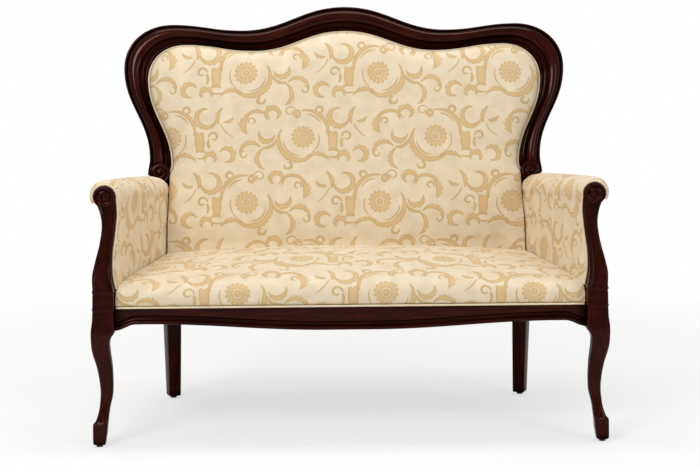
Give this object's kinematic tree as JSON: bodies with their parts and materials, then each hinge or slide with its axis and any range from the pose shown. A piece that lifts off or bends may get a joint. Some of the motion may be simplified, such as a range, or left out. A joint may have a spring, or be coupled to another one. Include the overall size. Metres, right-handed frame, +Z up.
{
  "type": "cabriole sofa",
  "caption": "Two-seat show-wood settee with a serpentine crest, scrolled arms, cabriole front legs and fixed damask upholstery.",
  "frame": {"origin": "on the floor, under the middle of the sofa's bounding box", "axes": "seen from the front +X is right, +Y is to the back, +Z is up"},
  "size_m": [1.2606, 0.6656, 1.0712],
  "materials": {
    "mahogany": "dark polished mahogany",
    "beech": "plain beech",
    "damask": "cream satin damask with gold scrolls",
    "piping": "cream satin cord",
    "foam": "upholstery foam",
    "hessian": "plain hessian",
    "webbing": "woven jute webbing",
    "black_cloth": "black dust cloth",
    "glide": "black glide"
  },
  "bodies": {
    "root": {"front_leg_right": "mahogany", "front_leg_left": "mahogany", "arm_post_right": "mahogany", "arm_post_left": "mahogany", "rear_leg_right": "mahogany", "rear_leg_left": "mahogany", "side_seat_rail_right": "mahogany", "side_seat_rail_left": "mahogany", "arm_rail_right": "beech", "arm_rail_left": "beech", "lower_arm_rail_right": "beech", "lower_arm_rail_left": "beech", "arm_pad_right": "foam", "arm_pad_left": "foam", "arm_cover_right": "damask", "arm_cover_left": "damask", "outside_arm_panel_right": "damask", "outside_arm_panel_left": "damask", "arm_piping_right": "piping", "arm_piping_left": "piping", "corner_blocks": "beech", "front_seat_rail": "mahogany", "back_seat_rail": "beech", "crest_rail": "mahogany", "lower_back_rail": "beech", "seat_cross_brace": "beech", "seat_pad": "foam", "seat_cover": "damask", "back_pad": "foam", "back_cover": "damask", "outside_back_panel": "damask", "back_hessian": "hessian", "seat_hessian": "hessian", "dust_cover": "black_cloth", "seat_webbing_front_to_back": "webbing", "seat_webbing_side_to_side": "webbing", "back_webbing_upright": "webbing", "back_webbing_side_to_side": "webbing", "back_piping": "piping", "seat_piping": "piping", "crest_dowels": "beech", "arm_post_dowels": "beech", "foot_glides": "glide"}
  },
  "joints": []
}
